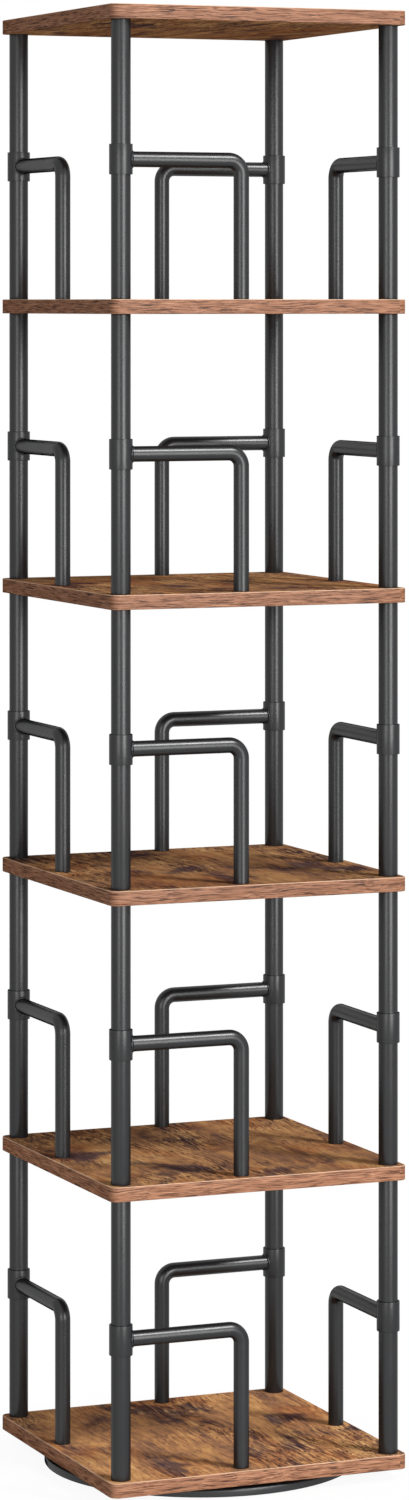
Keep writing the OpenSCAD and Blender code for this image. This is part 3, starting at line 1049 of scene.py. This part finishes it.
head_z = [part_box(f"shelf_{i}")[0][2] + HEAD_SINK for i in range(1, SHELVES)]
ring_screw_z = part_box("inner_ring_screws")[0][2]
for c, corner in enumerate(CORNERS):
    bolt = screw_shell(*POST_BOLT).shifted(-post_xy, -post_xy, head_z[0])
    bolt.turned(quarter_turn(c))
    make_piece(f"post_bolt_{corner}", bolt, "carousel", "zinc", "post_bolts")
    for t in range(1, TIERS + 1):
        screw = screw_shell(*ARM_SCREW).shifted(arm_reach - post_xy, -post_xy, head_z[t - 1])
        screw.turned(quarter_turn(c))
        make_piece(f"arm_screw_{t}_{corner}", screw, "carousel", "zinc", "arm_screws")
for i, (x, y, radius) in enumerate(screw_holes, start=1):
    screw = screw_shell(*RING_SCREW).shifted(x, y, ring_screw_z)
    make_piece(f"ring_screw_{i}", screw, "base", "zinc", "inner_ring_screws")
print("bolts and screws:", len(CORNERS) * (1 + TIERS) + len(screw_holes))

# %% [markdown]
# Camera
#
# The picture was taken from far away with a long lens, held level: all posts are upright
# and parallel in it. Turning the camera down would make them lean, so the lens is shifted
# down instead, and the shelf still fills the whole height. The eye is level with the second
# shelf from the top, of which only the edge shows. The board above it shows its underside,
# and the boards below it more and more of their top.

# %% Camera
PHOTO_H = 1500
FOCAL_PX = 4725
HORIZON_ROW = 302.5
EYE = (-1.9133, -4.6178, 1.2237)
YAW_DEG = 22.555
SENSOR = 36
CLIP_END = 60

camera_data = bpy.data.cameras.new("camera")
camera_data.sensor_width = SENSOR
camera_data.lens = FOCAL_PX / PHOTO_H * SENSOR
camera_data.shift_y = -(PHOTO_H / 2 - HORIZON_ROW) / PHOTO_H
camera_data.clip_end = CLIP_END
camera = object_of("camera", camera_data)
camera.location = EYE
camera.rotation_euler = (math.radians(90), 0, math.radians(-YAW_DEG))
bpy.context.scene.camera = camera
print("lens", round(camera_data.lens, 1), "shift", round(camera_data.shift_y, 4))

# %% [markdown]
# Floor
#
# The floor is pale and plain. Seen by the camera it has to be as white as the background
# and still hold the shadow. More light would whiten it, but the shelf too. So for those
# rays a share of its light is its own glow, which grows to all of it away from the shelf.
# To the light that bounces it is a middling grey, and the glow lights nothing.

# %% Floor
FLOOR_R = 6.0
FLOOR_SIDES = 64
FLOOR_SEEN, FLOOR_BOUNCE = screen(243, 243, 242), screen(150, 150, 150)
GLOW_FROM, GLOW_WHOLE, GLOW_LEAST = 0.14, 0.36, 0.93
WHITE = (1, 1, 1, 1)


def seen_rays(tree):
    """One for a ray from the camera, in a reflection or through glass, and zero for others."""
    path = tree.add("ShaderNodeLightPath").outputs
    mirrored = tree.calc("MAXIMUM", path["Is Glossy Ray"], path["Is Transmission Ray"])
    return tree.calc("MAXIMUM", path["Is Camera Ray"], mirrored)


def floor_material():
    """Pale to the camera, with a glow that grows with the distance; grey to other light."""
    material, tree, shader = new_material("pale_floor", roughness=0.8, specular=0.2)
    seen = seen_rays(tree)
    tree.link(tree.mix(seen, FLOOR_BOUNCE, FLOOR_SEEN), shader.inputs["Base Color"])
    away = tree.add("ShaderNodeVectorMath", {0: tree.place()}, operation="LENGTH").outputs["Value"]
    glow = tree.add("ShaderNodeEmission", {"Color": WHITE, "Strength": 1.0})
    share = tree.calc("MULTIPLY", seen, tree.step(away, GLOW_FROM, GLOW_WHOLE, GLOW_LEAST, 1.0))
    mixed = tree.add("ShaderNodeMixShader", {0: share, 1: shader.outputs[0], 2: glow.outputs[0]})
    tree.link(mixed.outputs[0], material.node_tree.nodes["Material Output"].inputs["Surface"])
    return material


rim = arc((0, 0), FLOOR_R, 0, 360, FLOOR_SIDES + 1)[:-1]
floor_shell = Shell()
floor_shell.cap(np.concatenate([rim, 0 * rim[:, :1]], 1))
floor = object_of("floor", mesh_of("floor", floor_shell))
floor.data.materials.append(floor_material())
print("floor radius", FLOOR_R)

# %% [markdown]
# World and lamps
#
# The world is white to the camera and in reflections, and lights the object at a plain,
# even level. On that alone a tube looks flat, because its shine is what shows that it is
# round. So three soft boxes stand where the picture's highlights ask for them. The strip
# draws the long bright line down the posts and legs, the overhead lamp lights the level
# runs and the boards, and the fill gives the left faces their tone and the posts a second,
# dimmer line.

# %% World and lamps
WORLD_LEVEL = 0.43
AIM_HEIGHT = 0.8
# Azimuth in degrees, height, distance, size in metres, and power in watts
LAMPS = {"strip": (12, 1.2, 4.6, (2.1, 2.3), 120), "overhead": (35, 5.2, 4.3, (0.95, 1.4), 285),
         "fill": (-43, 1.1, 4.6, (1.7, 1.9), 41)}


def studio_world(level):
    """White to the camera and in reflections, and a plain level of light on the object."""
    world = bpy.data.worlds.new("studio")
    world.use_nodes = True
    tree = Tree(world.node_tree)
    plain = world.node_tree.nodes["Background"]
    plain.inputs["Color"].default_value = WHITE
    plain.inputs["Strength"].default_value = level
    white = tree.add("ShaderNodeBackground", {"Color": WHITE, "Strength": 1.0})
    mixed = tree.add("ShaderNodeMixShader",
                     {0: seen_rays(tree), 1: plain.outputs[0], 2: white.outputs[0]})
    tree.link(mixed.outputs[0], world.node_tree.nodes["World Output"].inputs["Surface"])
    bpy.context.scene.world = world


def soft_box(name, azimuth, height, distance, size, power):
    """Area lamp at an azimuth round the shelf, 0 at -Y and 90 at +X, aimed at its axis."""
    turn = math.radians(azimuth)
    lamp = bpy.data.lights.new(name, "AREA")
    lamp.shape, lamp.size, lamp.size_y, lamp.energy = "RECTANGLE", size[0], size[1], power
    made = object_of(name, lamp)
    made.location = (distance * math.sin(turn), -distance * math.cos(turn), height)
    drop = math.atan2(height - AIM_HEIGHT, distance)
    made.rotation_euler = (math.radians(90) - drop, 0, turn)


studio_world(WORLD_LEVEL)
for name, lamp_values in LAMPS.items():
    soft_box(name, *lamp_values)
bpy.context.scene.view_settings.view_transform = "Standard"
print("lamps:", list(LAMPS))
